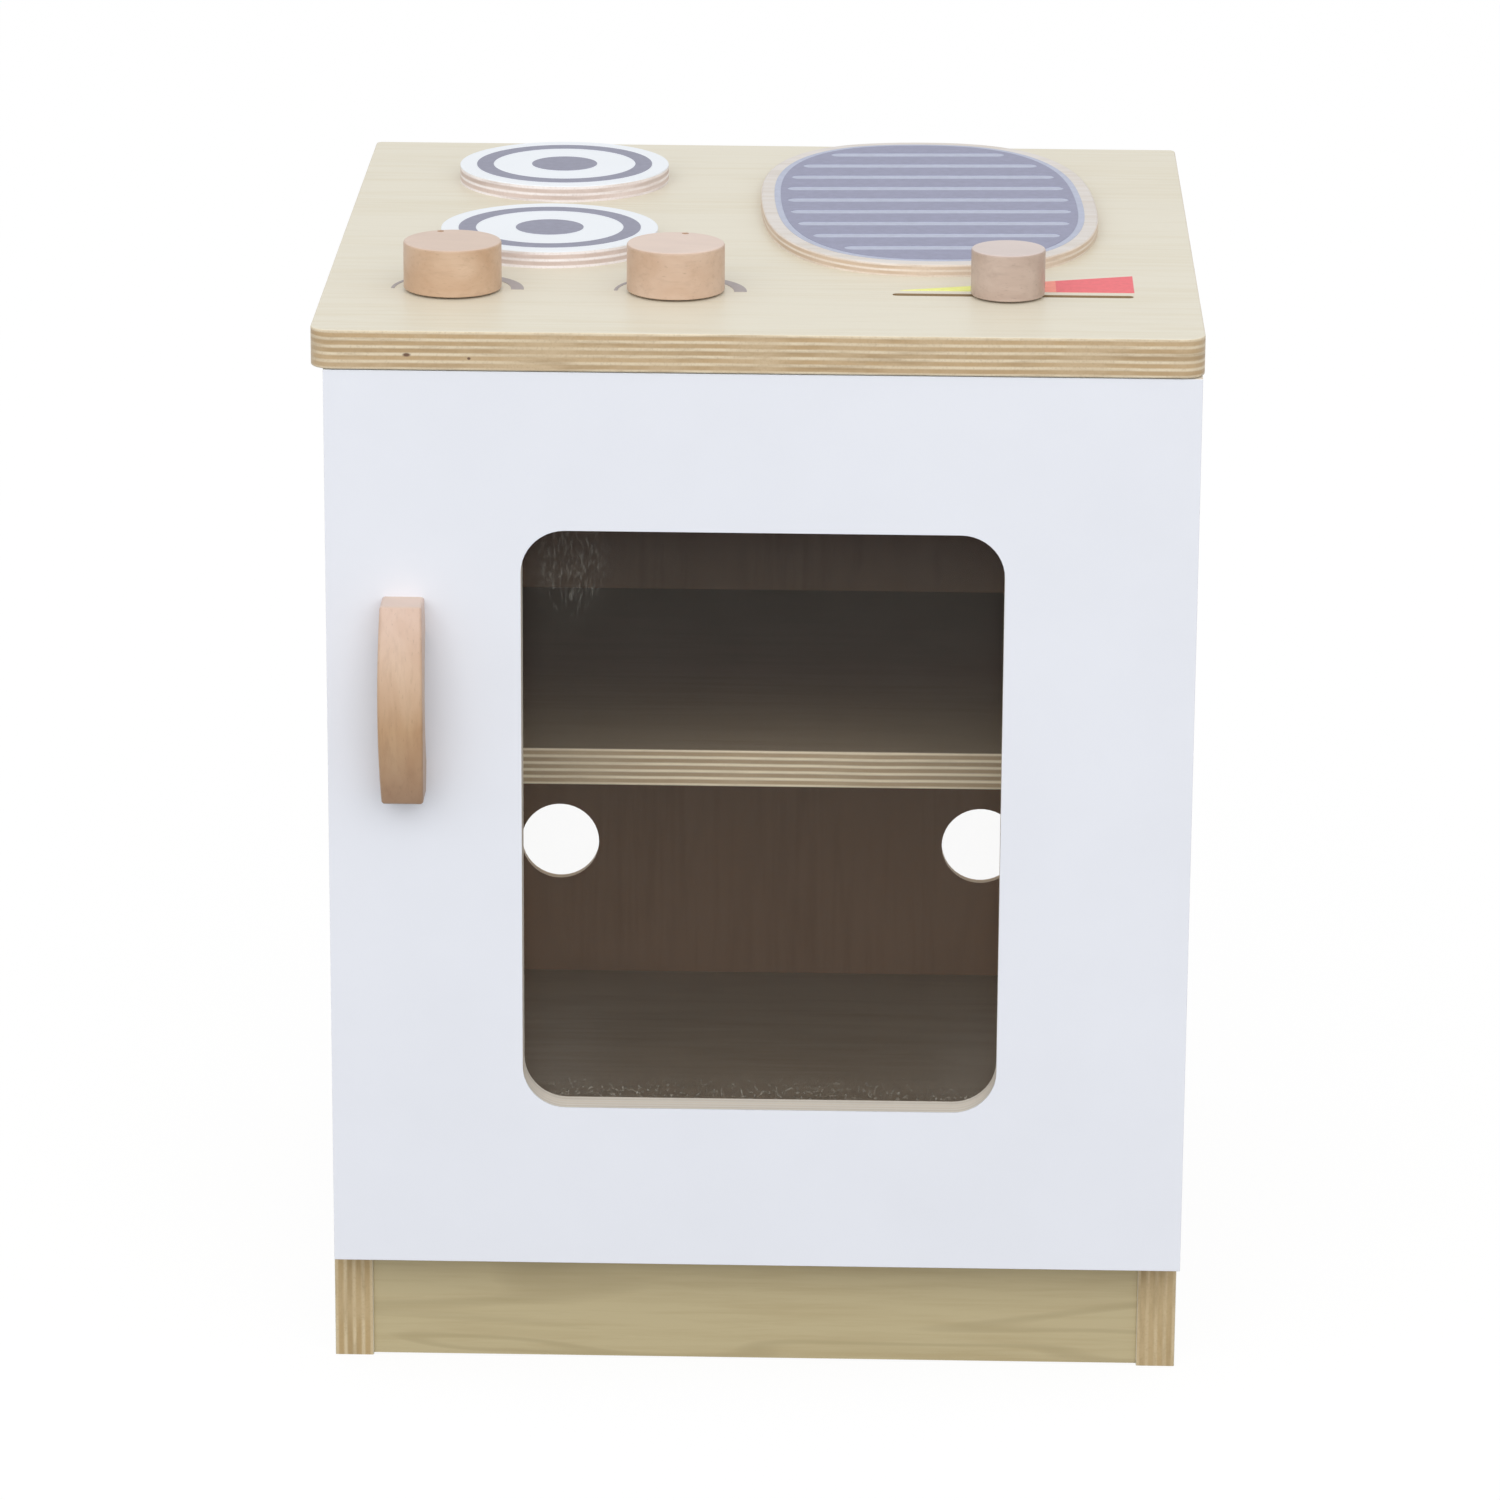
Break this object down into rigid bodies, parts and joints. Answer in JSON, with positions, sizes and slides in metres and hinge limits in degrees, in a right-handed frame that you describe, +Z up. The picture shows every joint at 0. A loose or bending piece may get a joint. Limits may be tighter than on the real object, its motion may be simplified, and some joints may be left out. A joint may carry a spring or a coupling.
{
  "type": "toy oven",
  "caption": "Wooden toy oven for pretend cooking: square cabinet with a glazed side-hung door, burner discs and a griddle on the worktop, turning knobs and a sliding heat knob.",
  "frame": {"origin": "on the floor, in the middle of the overall box", "axes": "+Z up from the feet to the worktop, -Y out of the door, +X to the right seen from the front"},
  "size_m": [0.4, 0.426, 0.5228],
  "materials": {
    "worktop_board": "satin",
    "birch_ply": "satin",
    "thin_ply": "matte",
    "white_laminate": "satin",
    "clear_acrylic": "glossy",
    "beech": "satin",
    "print_grey": "matte",
    "film_pale": "satin",
    "film_dark": "satin",
    "film_yellow": "satin",
    "film_orange": "satin",
    "film_red": "satin",
    "soft_pad": "satin",
    "hinge_steel": "nickel plated",
    "screw_steel": "zinc plated"
  },
  "bodies": {
    "cabinet": {"back_panel": "thin_ply", "back_screws": "screw_steel", "burner_front": "birch_ply", "burner_front_face": "white_laminate", "burner_front_print": "print_grey", "burner_rear": "birch_ply", "burner_rear_face": "white_laminate", "burner_rear_print": "print_grey", "floor_panel": "birch_ply", "front_rail": "birch_ply", "griddle_border_film": "film_pale", "griddle_grill_film": "film_dark", "griddle_plate": "birch_ply", "hinge_arm_pins": "hinge_steel", "hinge_lower_arm": "hinge_steel", "hinge_lower_plate": "hinge_steel", "hinge_plate_screws": "hinge_steel", "hinge_upper_arm": "hinge_steel", "hinge_upper_plate": "hinge_steel", "knob_left_scale": "print_grey", "knob_middle_scale": "print_grey", "plinth": "birch_ply", "rail_screws": "screw_steel", "rear_rail": "birch_ply", "scale_orange": "film_orange", "scale_red": "film_red", "scale_yellow": "film_yellow", "shelf": "birch_ply", "side_left": "birch_ply", "side_right": "birch_ply", "side_screws_left": "screw_steel", "side_screws_right": "screw_steel", "worktop": "worktop_board"},
    "outer_links": {"hinge_lower_outer_link": "hinge_steel", "hinge_upper_outer_link": "hinge_steel"},
    "inner_links": {"hinge_lower_inner_link": "hinge_steel", "hinge_upper_inner_link": "hinge_steel"},
    "door": {"door_panel": "birch_ply", "door_front_facing": "white_laminate", "door_back_facing": "white_laminate", "window_pane": "clear_acrylic", "pane_screws": "screw_steel", "door_handle": "beech", "handle_screws": "screw_steel", "door_bumpers": "soft_pad", "hinge_lower_cup": "hinge_steel", "hinge_upper_cup": "hinge_steel", "hinge_cup_pins": "hinge_steel", "hinge_cup_screws": "hinge_steel"},
    "knob_left": {"knob_left": "beech", "knob_left_washers": "screw_steel", "knob_left_screw": "screw_steel"},
    "knob_middle": {"knob_middle": "beech", "knob_middle_washers": "screw_steel", "knob_middle_screw": "screw_steel"},
    "heat_slider": {"slider_knob": "beech", "slider_washer": "screw_steel", "slider_guide": "beech", "slider_screw": "screw_steel"}
  },
  "joints": [
    {"name": "outer_link_turn", "type": "hinge", "parent": "cabinet", "child": "outer_links", "pos_m": [0.1683, -0.159, 0], "axis": [0, 0, 1], "range_deg": [-25.3, 0]},
    {"name": "door_swing", "type": "hinge", "parent": "outer_links", "child": "door", "pos_m": [0.1897, -0.1707, 0], "axis": [0, 0, 1], "range_deg": [0, 115.29]},
    {"name": "inner_link_turn", "type": "hinge", "parent": "door", "child": "inner_links", "pos_m": [0.1903, -0.1756, 0], "axis": [0, 0, 1], "range_deg": [-98.11, 0]},
    {"name": "left_knob_turn", "type": "hinge", "parent": "cabinet", "child": "knob_left", "pos_m": [-0.141, -0.105, 0.5], "axis": [0, 0, 1], "continuous": true},
    {"name": "middle_knob_turn", "type": "hinge", "parent": "cabinet", "child": "knob_middle", "pos_m": [-0.039, -0.105, 0.5], "axis": [0, 0, 1], "continuous": true},
    {"name": "heat_slide", "type": "slide", "parent": "cabinet", "child": "heat_slider", "axis": [1, 0, 0], "range_m": [-0.05, 0.0548]}
  ],
  "couplings": [
    {"joint": "outer_link_turn", "follows": "door_swing", "ratio": -0.21936},
    {"joint": "inner_link_turn", "follows": "door_swing", "ratio": -0.8509}
  ]
}
